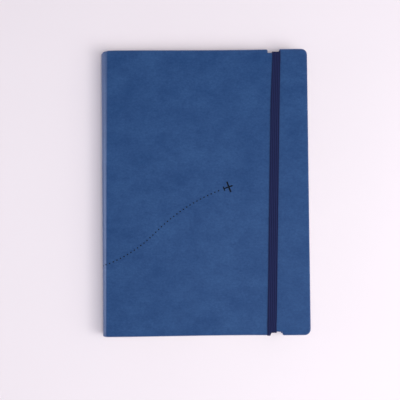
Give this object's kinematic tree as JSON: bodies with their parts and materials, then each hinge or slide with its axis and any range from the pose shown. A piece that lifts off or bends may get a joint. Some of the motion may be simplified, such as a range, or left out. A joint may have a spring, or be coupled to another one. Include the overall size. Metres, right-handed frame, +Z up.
{
  "type": "pilot logbook",
  "caption": "Casebound A5 pilot logbook with a soft blue leatherette case, rounded corners, a debossed dotted flight path and a navy elastic closure band.",
  "frame": {"origin": "middle of the closed book's footprint, on the surface it lies on", "axes": "+X towards the fore-edge, +Y towards the head, +Z up out of the front cover"},
  "size_m": [0.156, 0.216, 0.0187],
  "materials": {
    "leatherette": "fine-grained polyurethane leatherette, semi-matte",
    "board": "grey-brown binder's board",
    "infill_card": "smooth light card",
    "endpaper": "heavy uncoated ivory endpaper",
    "page_paper": "uncoated off-white log paper",
    "mull_cloth": "open-weave stiffened cotton",
    "kraft_paper": "brown kraft paper",
    "headband_cloth": "blue and white striped headband",
    "thread": "waxed linen thread",
    "elastic": "navy ribbed woven elastic"
  },
  "bodies": {
    "back_half": {"back_skin": "leatherette", "back_board": "board", "back_infill": "infill_card", "back_pastedown": "endpaper", "back_flyleaf": "endpaper", "signature_01": "page_paper", "signature_02": "page_paper", "signature_03": "page_paper", "signature_04": "page_paper", "signature_05": "page_paper", "signature_06": "page_paper"},
    "spine": {"spine_skin": "leatherette", "spine_strip": "board", "spine_mull": "mull_cloth", "spine_liner": "kraft_paper", "head_band": "headband_cloth", "tail_band": "headband_cloth", "sewing_thread": "thread"},
    "front_half": {"front_skin": "leatherette", "front_board": "board", "front_infill": "infill_card", "front_pastedown": "endpaper", "front_flyleaf": "endpaper", "signature_07": "page_paper", "signature_08": "page_paper", "signature_09": "page_paper", "signature_10": "page_paper", "signature_11": "page_paper", "signature_12": "page_paper"},
    "leaf_1": {"turning_leaf_1": "page_paper"},
    "leaf_2": {"turning_leaf_2": "page_paper"},
    "leaf_3": {"turning_leaf_3": "page_paper"},
    "leaf_4": {"turning_leaf_4": "page_paper"},
    "band": {"elastic_band": "elastic"}
  },
  "joints": [
    {"name": "spine_hinge", "type": "hinge", "parent": "back_half", "child": "spine", "pos_m": [-0.07714, 0, 0.00086], "axis": [0, -1, 0], "range_deg": [0, 90]},
    {"name": "front_hinge", "type": "hinge", "parent": "spine", "child": "front_half", "pos_m": [-0.07714, 0, 0.01714], "axis": [0, -1, 0], "range_deg": [0, 90]},
    {"name": "leaf_1_turn", "type": "hinge", "parent": "spine", "child": "leaf_1", "pos_m": [-0.07714, 0, 0.00086], "axis": [0, -1, 0], "range_deg": [-84, 0]},
    {"name": "leaf_2_turn", "type": "hinge", "parent": "spine", "child": "leaf_2", "pos_m": [-0.07714, 0, 0.00086], "axis": [0, -1, 0], "range_deg": [-72, 0]},
    {"name": "leaf_3_turn", "type": "hinge", "parent": "spine", "child": "leaf_3", "pos_m": [-0.07714, 0, 0.01714], "axis": [0, -1, 0], "range_deg": [0, 66]},
    {"name": "leaf_4_turn", "type": "hinge", "parent": "spine", "child": "leaf_4", "pos_m": [-0.07714, 0, 0.01714], "axis": [0, -1, 0], "range_deg": [0, 82]},
    {"name": "band_slide", "type": "slide", "parent": "back_half", "child": "band", "axis": [0, 0, -1], "range_m": [0, 0.0092], "deforming": ["elastic_band"]}
  ],
  "couplings": [
    {"joint": "front_hinge", "follows": "spine_hinge", "ratio": 1},
    {"joint": "leaf_1_turn", "follows": "spine_hinge", "ratio": -0.92},
    {"joint": "leaf_2_turn", "follows": "spine_hinge", "ratio": -0.78},
    {"joint": "leaf_3_turn", "follows": "spine_hinge", "ratio": 0.71},
    {"joint": "leaf_4_turn", "follows": "spine_hinge", "ratio": 0.9},
    {"joint": "band_slide", "follows": "spine_hinge", "m_per_rad": 0.005856}
  ]
}
